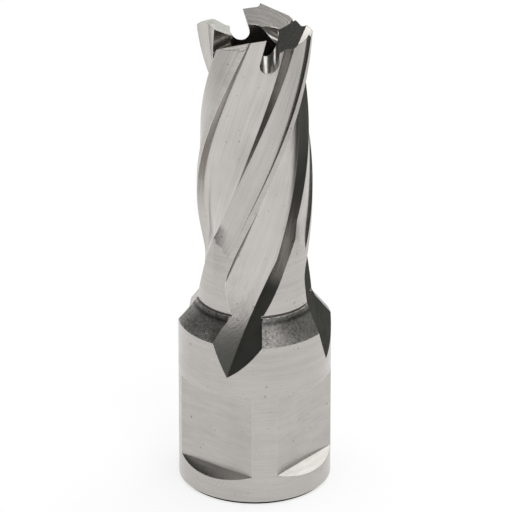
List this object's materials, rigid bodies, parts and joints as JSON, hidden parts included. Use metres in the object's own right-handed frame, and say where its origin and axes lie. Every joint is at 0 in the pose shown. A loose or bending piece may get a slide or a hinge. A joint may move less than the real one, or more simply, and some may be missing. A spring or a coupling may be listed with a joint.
{
  "type": "annular cutter",
  "caption": "Hollow core-cutting tool: plain round shank with side flats, cone and groove, spiral-fluted tubular body with a toothed cutting rim and a through bore.",
  "frame": {"origin": "centre of the shank's end face, on the cutter's axis", "axes": "+Z along the axis from the shank to the teeth; -Y towards the picture's camera"},
  "size_m": [0.019, 0.019, 0.0612],
  "materials": {
    "high_speed_steel": "bare ground high-speed steel, fine turning lines on the shank and streaks along the flutes"
  },
  "bodies": {
    "root": {"cutter_body": "high_speed_steel"}
  },
  "joints": []
}
